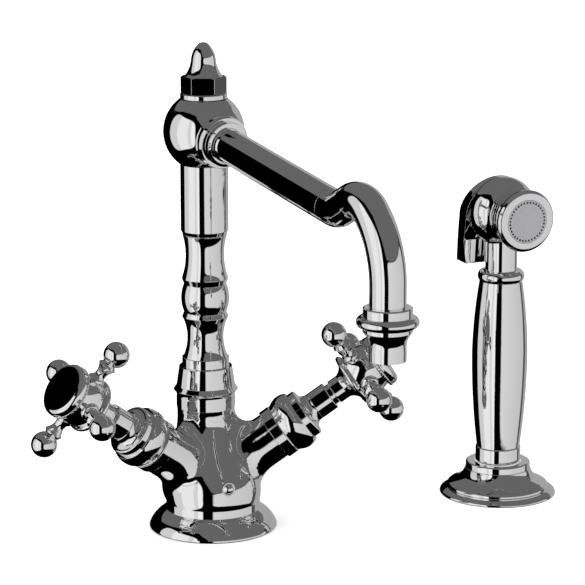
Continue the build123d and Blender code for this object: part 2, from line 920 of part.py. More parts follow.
def cartridge(valve):
    """Valve cartridge: a cup for the discs below, a guide for the spindle above, windows in its wall."""
    with BuildPart() as body:
        turn(
            valve.plane,
            (disc_radius + fit, valve_bore_floor),
            (valve_bore_radius - fit, valve_bore_floor),
            (valve_bore_radius - fit, cartridge_shoulder),
            (cartridge_neck_radius, cartridge_shoulder),
            (cartridge_neck_radius, cartridge_top),
            (valve_spindle_radius + fit, cartridge_top),
            (valve_spindle_radius + fit, spindle_flange + 2 * disc_height),
            (disc_radius + fit, spindle_flange + 2 * disc_height),
        )
        middle = valve.point(spindle_flange + disc_height)
        for way in (valve.across, valve.rise):
            reach_out = way * (valve_bore_radius + 1)
            drill_between(middle - reach_out, middle + reach_out, disc_port_radius)
    return body


def stem_sleeve(valve):
    """Straight sleeve over the cartridge's neck."""
    with BuildPart() as sleeve:
        tube(valve.plane, cartridge_neck_radius + fit, stem_radius, bonnet_top, stem_top)
        fillet(sleeve.edges().filter_by(GeomType.CIRCLE).sort_by(SortBy.RADIUS)[-1:], edge_break)
    return sleeve


rim_start = handle_start + handle_neck_height + handle_flare_height
rim_end = rim_start + handle_rim_height
hub_top = rim_end + handle_bulb_height
spindle_top = hub_top - handle_cavity_depth


def valve_spindle(valve):
    """Spindle that turns the upper disc; its flange sits in the cartridge."""
    with BuildPart() as spindle:
        turn(
            valve.plane,
            (0, spindle_flange),
            (disc_radius, spindle_flange),
            (disc_radius, spindle_flange + disc_height),
            (valve_spindle_radius, spindle_flange + disc_height),
            (valve_spindle_radius, spindle_top),
            (0, spindle_top),
        )
        bore(valve.plane, spindle_screw_radius + fit, spindle_top - spindle_screw_length, spindle_top)
    return spindle


def handle_hub(valve):
    """Handle hub: neck, flare with a round rim and bulb, a seat for each arm and a cavity for the screw."""
    with BuildPart() as hub:
        turn(
            valve.plane,
            (valve_spindle_radius + fit, handle_start),
            (handle_neck_radius, handle_start),
            (handle_neck_radius, handle_start + handle_neck_height),
            (handle_rim_radius, rim_start, -handle_flare_hollow),
            (handle_rim_radius, rim_end, handle_rim_bow),
            (handle_bulb_foot_radius, rim_end),
            (handle_bulb_top_radius, hub_top, handle_bulb_bow),
            (handle_cavity_radius, hub_top),
            (handle_cavity_radius, spindle_top),
            (valve_spindle_radius + fit, spindle_top),
        )
        for arm in range(arm_count):
            seat = arm_axis(valve, arm)
            bore(seat, arm_foot_radius + fit, arm_seat, handle_rim_radius + handle_rim_bow)
            bore(seat, arm_shank_radius + fit, arm_seat - arm_shank_length, arm_seat)
    return hub


def arm_axis(valve, arm):
    """Lathe plane of one arm, with its stations measured from the valve axis."""
    angle = radians(arm_turn + arm * 360 / arm_count)
    way = valve.rise * cos(angle) + valve.across * sin(angle)
    return aim(valve.point(arm_station), way, valve.out)


def handle_arms(valve):
    """Turned arms with ball ends, screwed into the hub."""
    bead_end = arm_seat + arm_bead_length
    waist_at = arm_seat + arm_waist_reach
    edge_at = arm_seat + arm_edge_reach
    neck_at = arm_ball_reach - sqrt(arm_ball_radius**2 - arm_ball_neck**2)
    tip = arm_ball_reach + arm_ball_radius
    chord = sqrt((tip - neck_at) ** 2 + arm_ball_neck**2)
    bulge = arm_ball_radius - sqrt(arm_ball_radius**2 - chord**2 / 4)
    with BuildPart() as arms:
        for arm in range(arm_count):
            turn(
                arm_axis(valve, arm),
                (0, arm_seat - arm_shank_length),
                (arm_shank_radius, arm_seat - arm_shank_length),
                (arm_shank_radius, arm_seat),
                (arm_foot_radius, arm_seat),
                (arm_neck_radius, bead_end, arm_bead_bow),
                (arm_waist_radius, waist_at, -arm_waist_hollow),
                (arm_edge_radius, edge_at, -arm_edge_hollow),
                (arm_ball_neck, neck_at),
                (0, tip, bulge),
            )
    return arms


def rope_ring(valve):
    """Ring between the hub and the cap."""
    with BuildPart() as ring:
        turn(
            valve.plane,
            (handle_cavity_radius, hub_top),
            (rope_ring_radius - rope_ring_height / 2, hub_top),
            (rope_ring_radius - rope_ring_height / 2, hub_top + rope_ring_height, rope_ring_height / 2),
            (handle_cavity_radius, hub_top + rope_ring_height),
        )
    return ring


def cap(valve):
    """Plain round cap, pressed into the hub's cavity by its hollow spigot."""
    foot = hub_top + rope_ring_height
    spigot_end = foot - rope_ring_height - cap_spigot_length
    inner = handle_cavity_radius - fit - cap_spigot_wall
    with BuildPart() as cover:
        turn(
            valve.plane,
            (inner, spigot_end),
            (handle_cavity_radius - fit, spigot_end),
            (handle_cavity_radius - fit, foot),
            (cap_radius, foot),
            (cap_radius, foot + cap_rim_height),
            (cap_face_radius, foot + cap_height, cap_crown),
            (0, foot + cap_height),
            (0, foot),
            (inner, foot),
        )
    return cover


def handle_screw(valve):
    """Screw that draws the hub onto the spindle."""
    with BuildPart() as screw:
        shank_end = spindle_top - spindle_screw_length + 1
        tube(valve.plane, 0, spindle_screw_radius, shank_end, spindle_top)
        turn(
            valve.plane,
            (0, spindle_top),
            (screw_head_radius, spindle_top),
            (screw_head_radius, spindle_top + screw_head_height, screw_head_bow),
            (0, spindle_top + screw_head_height),
        )
    return screw


for side, valve in valves.items():
    save(f"{side}_bonnet_ring", bonnet_ring(valve))
    save(f"{side}_bonnet", bonnet(valve))
    save(f"{side}_cartridge", cartridge(valve))
    save(f"{side}_stem_sleeve", stem_sleeve(valve))
    save(f"{side}_ceramic_seat", ported_disc(valve, valve_bore_floor, disc_height, disc_radius))
    upper = valve_bore_floor + disc_height + fit
    save(f"{side}_ceramic_disc", ported_disc(valve, upper, disc_height, disc_radius - fit))
    save(f"{side}_spindle", valve_spindle(valve))
    save(f"{side}_handle_hub", handle_hub(valve))
    save(f"{side}_handle_arms", handle_arms(valve))
    save(f"{side}_rope_ring", rope_ring(valve))
    save(f"{side}_cap", cap(valve))
    save(f"{side}_handle_screw", handle_screw(valve))

# ======== diverter inside the column's foot ========
seat_top = diverter_seat_height + diverter_seat_length
head_bottom = seat_top + body_gap + diverter_travel
with BuildPart() as diverter_seat:
    tube(column_axis, diverter_seat_bore, diverter_bore_radius - fit, diverter_seat_height, seat_top)
save("diverter_seat", diverter_seat)

foot_plate_top = piston_foot_level + piston_foot_height
with BuildPart() as diverter_piston:
    turn(
        column_axis,
        (0, piston_foot_level),
        (diverter_bore_radius - fit, piston_foot_level),
        (diverter_bore_radius - fit, foot_plate_top),
        (piston_stem_radius, foot_plate_top),
        (piston_stem_radius, head_bottom),
        (piston_head_radius, head_bottom),
        (piston_head_radius, head_bottom + piston_head_height),
        (0, head_bottom + piston_head_height),
    )
    with BuildSketch(Plane((0, column_setback, piston_foot_level))):
        with PolarLocations(piston_hole_ring, 4):
            Circle(piston_hole_radius)
    extrude(amount=piston_foot_height, mode=Mode.SUBTRACT)
save("diverter_piston", diverter_piston)

with BuildPart() as diverter_spring:
    tube(
        column_axis,
        diverter_spring_radius - spring_wall,
        diverter_spring_radius,
        diverter_bore_floor,
        piston_foot_level,
    )
save("diverter_spring", diverter_spring)

# ======== holder of the side spray ========
collar_foot = holder_base_height
collar_head = collar_foot + holder_collar_height
holder_mouth_radius = holder_collar_radius - holder_collar_round
bush_foot = collar_head - bush_length
with BuildPart() as spray_base:
    turn(
        spray_axis,
        (holder_base_bore, 0),
        (holder_base_radius - edge_break, 0),
        (holder_base_radius, edge_break),
        (holder_base_radius - edge_break, holder_rim_height, holder_rim_bow),
        (holder_ledge_radius, holder_ledge_height, holder_ledge_bow),
        (holder_ledge_radius - edge_break, holder_ledge_height + holder_riser_height, holder_riser_bow),
        (holder_throat_radius, holder_base_height, -holder_sweep_hollow),
        (holder_spigot_radius, holder_base_height),
        (holder_spigot_radius, holder_thread_depth),
        (holder_base_bore, holder_thread_depth),
    )
    turn(
        spray_axis,
        (holder_seal_radius, 0),
        (holder_seal_radius + seal_width, 0),
        (holder_seal_radius + seal_width, seal_depth),
        (holder_seal_radius, seal_depth),
        mode=Mode.SUBTRACT,
    )
save("spray_base", spray_base)

with BuildPart() as spray_base_seal:
    tube(spray_axis, holder_seal_radius + fit, holder_seal_radius + seal_width - fit, 0, seal_depth)
save("spray_base_seal", spray_base_seal)

with BuildPart() as spray_holder:
    turn(
        spray_axis,
        (holder_collar_bore, holder_thread_depth),
        (holder_spigot_radius - fit, holder_thread_depth),
        (holder_spigot_radius - fit, collar_foot),
        (holder_collar_radius, collar_foot),
        (holder_collar_radius, collar_head - holder_collar_round),
        (holder_mouth_radius, collar_head, round_bow(holder_collar_round)),
        (holder_collar_bore, collar_head),
    )
save("spray_holder", spray_holder)

with BuildPart() as spray_bush:
    tube(spray_axis, bush_bore, holder_collar_bore - fit, bush_foot, collar_head)
save("spray_bush", spray_bush)

# ======== handset, standing in the holder ========
tail_bottom = holder_thread_depth + body_gap
ferrule_bottom = collar_head + body_gap
ferrule_top = ferrule_bottom + ferrule_height
grip_top = ferrule_top + grip_length
grip_belly = ferrule_top + grip_belly_rise
with BuildPart() as spray_ferrule:
    turn(
        spray_axis,
        (hose_thread_radius, tail_bottom),
        (tail_radius, tail_bottom),
        (tail_radius, ferrule_bottom),
        (ferrule_radius - edge_break, ferrule_bottom),
        (ferrule_radius, ferrule_bottom + edge_break),
        (ferrule_radius, ferrule_top - edge_break),
        (ferrule_radius - edge_break, ferrule_top),
        (spray_neck_radius + fit, ferrule_top),
        (spray_neck_radius + fit, ferrule_top - grip_spigot_length),
        (hose_bore, ferrule_top - grip_spigot_length),
        (hose_bore, tail_bottom + hose_thread_length),
        (hose_thread_radius, tail_bottom + hose_thread_length),
    )
save("spray_ferrule", spray_ferrule)

with BuildPart() as spray_grip:
    turn(
        spray_axis,
        (grip_bore, ferrule_top - grip_spigot_length),
        (spray_neck_radius, ferrule_top - grip_spigot_length),
        (spray_neck_radius, ferrule_top),
        (grip_start_radius, ferrule_top),
        (grip_belly_radius, grip_belly, grip_lower_bow),
        (grip_end_radius, grip_top, grip_upper_bow),
        (spray_neck_radius + fit, grip_top),
        (spray_neck_radius + fit, grip_top - grip_spigot_length),
        (grip_bore, grip_top - grip_spigot_length),
    )
save("spray_grip", spray_grip)

neck_ring_top = grip_top + neck_ring_height
with BuildPart() as spray_neck_ring:
    turn(
        spray_axis,
        (spray_neck_radius + fit, grip_top),
        (grip_end_radius, grip_top),
        (grip_end_radius - edge_break, neck_ring_top - edge_break, neck_ring_bow),
        (spray_neck_radius + fit, neck_ring_top),
    )
save("spray_neck_ring", spray_neck_ring)

head_turn, head_tilt = radians(head_yaw), radians(head_pitch)
head_out = Vector(sin(head_turn) * cos(head_tilt), -cos(head_turn) * cos(head_tilt), -sin(head_tilt))
head_up = Vector(sin(head_turn) * sin(head_tilt), -cos(head_turn) * sin(head_tilt), cos(head_tilt))
head_side = head_up.cross(head_out)
head_centre = Vector(spray_distance, 0, head_height)
head_axis = aim(head_centre, head_out, head_up)
pivot = head_centre + head_up * pivot_rise - head_out * pivot_back
plunger_rise = pivot_rise - plunger_drop
plunger_axis = aim(head_centre + head_up * plunger_rise, head_out, head_up)
head_ring_end = dome_front + head_ring_height
bell_start = head_ring_end + barrel_neck_length
bell_end = bell_start + bell_length
chamber_start = dome_back + plunger_guide_length
chamber_end = dome_front + 1
feed_foot = Vector(spray_distance, 0, feed_start)
feed_head = head_centre + head_out * feed_station + head_up * plunger_rise
with BuildPart() as spray_head:
    tube(spray_axis, 0, spray_neck_radius, grip_top - grip_spigot_length, head_height - dome_radius / 2)
    bore(head_axis, head_relief_radius, dome_back - 2 * spray_neck_radius, dome_back)
    turn(
        head_axis,
        (0, dome_back),
        (dome_radius, dome_back),
        (dome_radius, dome_back + dome_rim),
        (dome_front_radius, dome_front, dome_bow),
        (head_ring_radius, dome_front),
        (head_ring_radius, head_ring_end),
        (barrel_neck_radius, head_ring_end),
        (barrel_neck_radius, bell_start),
        (nozzle_thread_radius, bell_start),
        (nozzle_thread_radius, bell_start + nozzle_thread_length),
        (nozzle_bore, bell_start + nozzle_thread_length),
        (nozzle_bore, head_ring_end),
        (0, head_ring_end),
    )
    with BuildSketch(head_axis):
        with Locations((pivot_rise, (dome_back - lug_reach) / 2)):
            Rectangle(lug_height, lug_reach + dome_back)
    extrude(amount=lug_width / 2, both=True)
    bore(aim(pivot, head_side, head_up), pin_radius + fit / 2, -lug_width, lug_width)
    bore(spray_axis, hose_bore, grip_top - grip_spigot_length, feed_start)
    drill_between(feed_foot, feed_head, feed_radius)
    bore(plunger_axis, plunger_radius + fit, dome_back - 1, chamber_start)
    bore(plunger_axis, plunger_chamber_radius, chamber_start, chamber_end)
    bore(plunger_axis, plunger_radius + 2 * spring_wall, chamber_end, head_ring_end)
save("spray_head", spray_head)

with BuildPart() as spray_face_ring:
    turn(
        head_axis,
        (nozzle_thread_radius + fit, bell_start),
        (barrel_neck_radius, bell_start),
        (barrel_neck_radius + edge_break, bell_start + bell_throat_length),
        (bell_radius, bell_end - bell_rim_height, bell_bow),
        (bell_rim_radius, bell_end, bell_rim_bow),
        (face_radius + fit, bell_end),
        (face_radius + fit, bell_end - face_thickness),
        (face_radius - edge_break, bell_end - face_thickness),
        (face_radius - edge_break, bell_start + nozzle_thread_length),
        (nozzle_thread_radius + fit, bell_start + nozzle_thread_length),
    )
save("spray_face_ring", spray_face_ring)

face_plane = Plane(head_centre + head_out * bell_end, x_dir=head_side, z_dir=head_out)
with BuildPart() as spray_face:
    with BuildSketch(face_plane):
        Circle(face_radius)
        with PolarLocations(face_hole_ring, face_hole_count):
            Circle(face_hole_radius, mode=Mode.SUBTRACT)
    extrude(amount=-face_thickness)
save("spray_face", spray_face)

# ======== spray lever, its pin and the plunger that it pushes ========
lever_front = dome_back - lever_gap
lever_bend = -(dome_radius - 1)
lever_plane = Plane(head_centre + head_out * lever_front, x_dir=-head_side, z_dir=-head_out)
lever_shoulder_drop = -sqrt(lever_round_radius**2 - lever_shoulder**2)


def lever_face_at(rise):
    """Station of the lever's front face at a height above the head's axis."""
    share = min((pivot_rise - rise) / (pivot_rise - lever_bend), 1)
    return lever_front - share * (lever_foot_front + lever_front)


with BuildPart() as spray_lever:
    with BuildSketch(lever_plane):
        Circle(lever_round_radius)
        with BuildLine():
            trace(
                (-lever_shoulder, lever_shoulder_drop),
                (-lever_half_width, -lever_length),
                (lever_half_width, -lever_length),
                (lever_shoulder, lever_shoulder_drop),
            )
        make_face()
    extrude(amount=2 * lever_foot_back)
    with BuildSketch(head_axis):
        with BuildLine():
            trace(
                (lever_round_radius, lever_front),
                (lever_round_radius, lever_front - lever_top_thickness),
                (-lever_length, -lever_foot_back, -lever_back_bow),
                (-lever_length, -lever_foot_front),
                (lever_bend, -lever_foot_front),
                (pivot_rise, lever_front),
            )
        make_face()
    extrude(amount=lever_round_radius + 1, both=True, mode=Mode.INTERSECT)
    with BuildSketch(head_axis):
        with Locations((pivot_rise, lever_front - lever_slot_depth / 2)):
            Rectangle(lever_slot_height, lever_slot_depth + 1)
    extrude(amount=lug_width / 2 + body_gap, both=True, mode=Mode.SUBTRACT)
    bore(aim(pivot, head_side, head_up), pin_radius + fit, -lever_round_radius, lever_round_radius)
save("spray_lever", spray_lever)

with BuildPart() as spray_lever_pin:
    tube(aim(pivot, head_side, head_up), 0, pin_radius, -lever_half_width, lever_half_width)
save("spray_lever_pin", spray_lever_pin)

plunger_tip = lever_face_at(plunger_rise) + plunger_tip_gap
plunger_shoulder = plunger_tip + plunger_tip_rise
plunger_flange = chamber_start + body_gap
spring_start = plunger_flange + plunger_flange_height
with BuildPart() as spray_plunger:
    turn(
        plunger_axis,
        (0, plunger_tip),
        (plunger_radius, plunger_shoulder, crown_bow(plunger_radius, plunger_tip_rise)),
        (plunger_radius, plunger_flange),
        (plunger_flange_radius, plunger_flange),
        (plunger_flange_radius, spring_start),
        (plunger_radius, spring_start),
        (plunger_radius, spring_start + plunger_flange_height),
        (0, spring_start + plunger_flange_height),
    )
save("spray_plunger", spray_plunger)

with BuildPart() as spray_plunger_spring:
    tube(plunger_axis, plunger_flange_radius - spring_wall, plunger_flange_radius, spring_start, chamber_end)
save("spray_plunger_spring", spray_plunger_spring)
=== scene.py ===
"""Side spray kitchen faucet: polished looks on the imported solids, twisted rope rings and a studio.

Laid out as an add-on: one group of settings and one operator per kind of piece, and one for the stage.
Metres, +Z up, the user stands toward -Y, hot handle toward -X, side spray toward +X.
"""

import json
from math import radians

import bpy
import numpy as np
from bpy.props import FloatProperty, FloatVectorProperty, IntProperty, PointerProperty
from bpy.types import Operator, Panel, PropertyGroup
from mathutils import Matrix


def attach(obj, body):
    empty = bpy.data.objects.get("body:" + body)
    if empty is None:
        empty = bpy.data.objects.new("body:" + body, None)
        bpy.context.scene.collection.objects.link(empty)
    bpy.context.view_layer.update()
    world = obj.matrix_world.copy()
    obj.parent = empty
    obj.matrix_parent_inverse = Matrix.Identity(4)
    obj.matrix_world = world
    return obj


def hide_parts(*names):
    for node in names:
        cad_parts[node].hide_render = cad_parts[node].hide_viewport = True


bl_info = {
    "name": "Side spray kitchen faucet",
    "version": (1, 0, 0),
    "blender": (4, 5, 0),
    "location": "3D View > Sidebar > Faucet",
    "description": "Builds the looks of a two-handle faucet with a side spray",
    "category": "Object",
}

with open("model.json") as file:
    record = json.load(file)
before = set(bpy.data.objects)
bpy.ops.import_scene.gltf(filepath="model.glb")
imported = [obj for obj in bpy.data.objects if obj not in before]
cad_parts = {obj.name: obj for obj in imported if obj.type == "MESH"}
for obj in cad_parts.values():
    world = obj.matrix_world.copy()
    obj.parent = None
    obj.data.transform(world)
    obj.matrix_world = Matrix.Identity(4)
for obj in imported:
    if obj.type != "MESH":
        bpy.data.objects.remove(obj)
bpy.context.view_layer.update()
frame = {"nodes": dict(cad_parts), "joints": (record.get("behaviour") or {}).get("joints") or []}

# The photograph's width and the camera's focal length, both in pixels, and the sensor width in millimetres.
PHOTO_WIDTH = 585
FOCAL_PIXELS = 2700
SENSOR_WIDTH = 36

# Soft lights: middle azimuth, half width, middle elevation, half height, corner power and softness.
# Angles in degrees, azimuth from the camera, negative to its left.
LEFT_LIGHT = (-66, 43, -2, 38, 4, 0.1)
LOW_RIGHT_LIGHT = (57, 55.5, -8, 22, 8, 0.35)
FAR_RIGHT_LIGHT = (148, 34, -4, 30, 6, 0.2)

# Brightness of the soft lights at an azimuth.
LIGHT_LEVELS = (
    (-136, 0.77), (-117, 0.77), (-115, 0.67), (-81, 0.67), (-79, 0.88), (-46, 0.88), (-45, 0.71), (-36, 0.71),
    (-35, 0.94), (-12, 0.94), (-11, 0.74), (111, 0.58), (113, 0.08), (125, 0.08), (127, 0.39), (180, 0.39),
)

# Elevation at which the dim ceiling starts, as a share of 90 degrees, at an azimuth.
CEILING_EDGE = (
    (-180, 0.22), (-129, 0.26), (-89, 0.506), (-60, 0.57), (-31.7, 0.56), (-10, 0.34), (0, 0.17), (111, 0.16),
    (180, 0.22),
)

# Pieces of the brass slot in the gap between stem sleeve and handle, where the photograph shows no brass.
PLATED = [f"{side}_{piece}" for side in ("hot", "cold") for piece in ("spindle", "cartridge")]

HAIRS_PER_WIPE = 24  # fine polishing hairs to each wipe mark
EDGE_SAMPLES = 6
BUMP_DEPTH = 0.00002
FLOOR_SIZE = 20
LAMP_SPREAD = radians(120)


# ---- settings ----
class FinishSettings(PropertyGroup):
    """Colours, polish and eased edges of all surfaces."""

    chrome_colour: FloatVectorProperty(
        name="Chrome colour", description="Reflected colour of the plating",
        subtype="COLOR", size=3, min=0, max=1, default=(0.9, 0.9, 0.905),
    )
    chrome_roughness: FloatProperty(
        name="Chrome roughness", description="Blur of the reflections in the plating",
        subtype="FACTOR", default=0.018, min=0, max=1,
    )
    edge_ease: FloatProperty(
        name="Edge ease", description="Radius over which sharp edges catch the light",
        subtype="DISTANCE", unit="LENGTH", default=0.00028, min=0, max=0.002,
    )
    wipe_marks: FloatProperty(
        name="Wipe marks per metre", description="Number of faint polishing clouds per metre",
        default=160.0, min=1, max=5000,
    )


class RopeSettings(PropertyGroup):
    """Twisted rope ring under each handle cap."""

    centre_radius: FloatProperty(
        name="Ring radius", description="Distance from the valve axis to the middle of the rope",
        subtype="DISTANCE", unit="LENGTH", default=0.0133, min=0.005, max=0.03,
    )
    rope_radius: FloatProperty(
        name="Rope radius", description="Half the thickness of the rope",
        subtype="DISTANCE", unit="LENGTH", default=0.0009, min=0.0003, max=0.003,
    )
    twists: IntProperty(
        name="Twists", description="Strand crossings around the ring", default=46, min=8, max=200,
    )
    groove: FloatProperty(
        name="Groove depth", description="Depth of the grooves between strands as a share of the rope radius",
        subtype="FACTOR", default=0.34, min=0, max=0.8,
    )
    station: FloatProperty(
        name="Ring height", description="Height of the rope's middle above the arms, along the valve axis",
        subtype="DISTANCE", unit="LENGTH", default=0.0083, min=0, max=0.03,
    )


class StageSettings(PropertyGroup):
    """Camera, floor and the soft lights of the studio."""

    camera_turn: FloatProperty(
        name="Camera turn", description="Angle of the camera from the front, negative toward the hot side",
        subtype="ANGLE", unit="ROTATION", default=radians(-21.0),
    )
    camera_climb: FloatProperty(
        name="Camera climb", description="Angle at which the camera looks down",
        subtype="ANGLE", unit="ROTATION", default=radians(13.0),
    )
    camera_place: FloatVectorProperty(
        name="Camera place", description="Camera position along its own right, up and back directions",
        subtype="XYZ", size=3, default=(0.040836, 0.119299, 1.391172),
    )
    focal_length: FloatProperty(
        name="Focal length", description="Lens of the camera in millimetres",
        default=SENSOR_WIDTH * FOCAL_PIXELS / PHOTO_WIDTH, min=10, max=500,
    )
    floor_colour: FloatVectorProperty(
        name="Floor colour", description="Colour of the plain floor",
        subtype="COLOR", size=3, min=0, max=1, default=(0.93, 0.93, 0.93),
    )
    lamp_strength: FloatProperty(
        name="Lamp strength", description="Strength of the broad overhead light", default=5.0, min=0, max=50,
    )
    ceiling_grey: FloatProperty(
        name="Ceiling grey", description="Brightness of the dim ceiling seen in the plating",
        default=0.137, min=0, max=1,
    )


# ---- shader arithmetic ----
class Graph:
    """Adds nodes to one node tree and links them."""

    def __init__(self, tree):
        self.tree = tree

    def node(self, kind, **settings):
        """A new node with its settings."""
        made = self.tree.nodes.new(kind)
        for name, value in settings.items():
            setattr(made, name, value)
        return made

    def put(self, socket, value):
        """Link a socket to an output, or set its constant."""
        if isinstance(value, bpy.types.NodeSocket):
            self.tree.links.new(value, socket)
        else:
            socket.default_value = value

    def math(self, operation, *values):
        """Result of one arithmetic step."""
        made = self.node("ShaderNodeMath", operation=operation)
        for socket, value in zip(made.inputs, values):
            self.put(socket, value)
        return made.outputs[0]

    def dot(self, first, second):
        """Dot product of a vector output and a constant direction."""
        made = self.node("ShaderNodeVectorMath", operation="DOT_PRODUCT")
        self.put(made.inputs[0], first)
        self.put(made.inputs[1], second)
        return made.outputs["Value"]

    def smooth(self, value, start, end, low=0.0, high=1.0):
        """Smooth step of a value between two limits."""
        made = self.node("ShaderNodeMapRange", interpolation_type="SMOOTHSTEP")
        names = ("Value", "From Min", "From Max", "To Min", "To Max")
        for name, item in zip(names, (value, start, end, low, high)):
            self.put(made.inputs[name], item)
        return made.outputs["Result"]

    def ramp(self, value, stops):
        """Piecewise linear curve of a value from 0 to 1."""
        made = self.node("ShaderNodeValToRGB")
        curve = made.color_ramp
        curve.interpolation = "LINEAR"
        while len(curve.elements) < len(stops):
            curve.elements.new(0.5)
        for element, (place, level) in zip(curve.elements, sorted(stops)):
            element.position = place
            element.color = (level, level, level, 1)
        self.put(made.inputs["Fac"], value)
        return made.outputs["Color"]

    def noise(self, place, scale, detail):
        """Noise value at a place."""
        made = self.node("ShaderNodeTexNoise")
        self.put(made.inputs["Vector"], place)
        made.inputs["Scale"].default_value = scale
        made.inputs["Detail"].default_value = detail
        return made.outputs["Fac"]


def new_material(name):
    """An empty node material with its shader, the graph and the object's own coordinates."""
    made = bpy.data.materials.new(name)
    made.use_nodes = True
    graph = Graph(made.node_tree)
    place = graph.node("ShaderNodeTexCoord").outputs["Object"]
    return made, graph, made.node_tree.nodes["Principled BSDF"], place


def eased_normal(graph, settings, height, strength):
    """Normal rounded over the edges and roughened by a very low bump; also how near an edge is."""
    bevel = graph.node("ShaderNodeBevel", samples=EDGE_SAMPLES)
    bevel.inputs["Radius"].default_value = settings.edge_ease
    bump = graph.node("ShaderNodeBump")
    bump.inputs["Strength"].default_value = strength
    bump.inputs["Distance"].default_value = BUMP_DEPTH
    graph.put(bump.inputs["Height"], height)
    graph.put(bump.inputs["Normal"], bevel.outputs["Normal"])
    turned = graph.node("ShaderNodeVectorMath", operation="DOT_PRODUCT")
    graph.put(turned.inputs[0], bevel.outputs["Normal"])
    graph.put(turned.inputs[1], graph.node("ShaderNodeNewGeometry").outputs["Normal"])
    edge = graph.smooth(turned.outputs["Value"], 0.97, 0.8)
    return bump.outputs["Normal"], edge


def metal(name, colour, roughness, settings, wear):
    """Polished metal: faint wipe clouds in its polish, hair scratches and slightly worn edges."""
    made, graph, shader, place = new_material(name)
    clouds = graph.noise(place, settings.wipe_marks, 3)
    hairs = graph.noise(place, settings.wipe_marks * HAIRS_PER_WIPE, 2)
    normal, edge = eased_normal(graph, settings, hairs, 0.02)
    polish = graph.smooth(clouds, 0.35, 0.75, roughness * 0.7, roughness * 1.5)
    graph.put(shader.inputs["Roughness"], graph.math("MULTIPLY_ADD", edge, wear, polish))
    graph.put(shader.inputs["Normal"], normal)
    shader.inputs["Base Color"].default_value = (*colour, 1)
    shader.inputs["Metallic"].default_value = 1
    return made


def plain(name, colour, roughness, settings, grain):
    """Ceramic, rubber or plastic: a fine grain in its colour and surface."""
    made, graph, shader, place = new_material(name)
    specks = graph.noise(place, grain, 4)
    normal, edge = eased_normal(graph, settings, specks, 0.3)
    blur = graph.smooth(specks, 0.2, 0.8, roughness * 0.85, min(roughness * 1.2, 1))
    graph.put(shader.inputs["Roughness"], graph.math("MULTIPLY_ADD", edge, -0.1, blur))
    graph.put(shader.inputs["Normal"], normal)
    mix = graph.node("ShaderNodeMix", data_type="RGBA")
    graph.put(mix.inputs[0], specks)
    graph.put(mix.inputs[6], tuple(value * 0.8 for value in colour) + (1,))
    graph.put(mix.inputs[7], tuple(min(value * 1.15, 1) for value in colour) + (1,))
    graph.put(shader.inputs["Base Color"], mix.outputs[2])
    return made


def finishes(settings):
    """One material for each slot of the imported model."""
    chrome = tuple(settings.chrome_colour)
    return {
        "chrome": metal("chrome_plate", chrome, settings.chrome_roughness, settings, 0.05),
        "brass": metal("turned_brass", (0.78, 0.57, 0.28), 0.2, settings, 0.1),
        "spring": metal("spring_steel", (0.55, 0.55, 0.56), 0.25, settings, 0.1),
        "ceramic": plain("sintered_ceramic", (0.82, 0.8, 0.76), 0.3, settings, 900),
        "seal": plain("black_rubber", (0.02, 0.02, 0.02), 0.6, settings, 1400),
        "bush": plain("white_acetal", (0.75, 0.75, 0.73), 0.45, settings, 1100),
        "face": plain("grey_spray_face", (0.3, 0.3, 0.31), 0.4, settings, 1200),
    }


class FAUCET_OT_finish(Operator):
    """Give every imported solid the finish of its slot"""

    bl_idname = "faucet.finish"
    bl_label = "Finish the solids"

    def execute(self, context):
        made = finishes(context.scene.faucet_finish)
        for node in frame["nodes"].values():
            for holder in node.material_slots:
                slot_name = holder.material.name.split(".")[0]
                if slot_name not in made:
                    raise ValueError(f"{node.name} has the unknown slot {slot_name}")
                holder.material = made["chrome" if node.name in PLATED else slot_name]
        return {"FINISHED"}


# ---- rope rings ----
def rope_points(settings, around=736, across=20):
    """Grid of a twisted rope bent into a ring.

    Around the ring the angle is a, around the rope the angle is b. The rope's radius at (a, b) is its half
    thickness times 1 - groove * (1 - |cos((twists * a + 2 * b) / 2)|), so two strands wind about each other.
    """
    a = np.linspace(0, 2 * np.pi, around, endpoint=False)[:, None]
    b = np.linspace(0, 2 * np.pi, across, endpoint=False)[None, :]
    strand = np.abs(np.cos((settings.twists * a + 2 * b) / 2))
    thick = settings.rope_radius * (1 - settings.groove * (1 - strand))
    out = settings.centre_radius + thick * np.cos(b)
    lift = settings.station + thick * np.sin(b)
    return np.stack((out * np.cos(a), out * np.sin(a), lift + 0 * a), axis=2)


def grid_mesh(name, points):
    """Mesh of a grid that closes on itself in both directions, with its faces outward."""
    rows, columns = points.shape[:2]
    index = np.arange(rows * columns).reshape(rows, columns)
    ahead = np.roll(index, -1, axis=0)
    corners = (index, ahead, np.roll(ahead, -1, axis=1), np.roll(index, -1, axis=1))
    faces = np.stack(corners, axis=2).reshape(-1, 4)
    mesh = bpy.data.meshes.new(name)
    mesh.from_pydata(points.reshape(-1, 3).tolist(), [], faces.tolist())
    mesh.polygons.foreach_set("use_smooth", np.ones(len(faces), dtype=bool))
    mesh.update()
    return mesh


def add_piece(name, mesh, material, body):
    """Put a new piece into the scene and let it ride on its body."""
    mesh.materials.append(material)
    piece = bpy.data.objects.new(name, mesh)
    bpy.context.scene.collection.objects.link(piece)
    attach(piece, body)
    return piece


def valve_frame(side):
    """Origin on the arms' level and directions of one valve, from the joint of its handle."""
    joint = next(item for item in frame["joints"] if item["name"] == f"{side}_handle_turn")
    along = np.array(joint["axis"], dtype=float)
    along /= np.linalg.norm(along)
    across = np.cross((0.0, 0.0, 1.0), along)
    across /= np.linalg.norm(across)
    return np.array(joint["pos_m"], dtype=float), across, np.cross(along, across), along


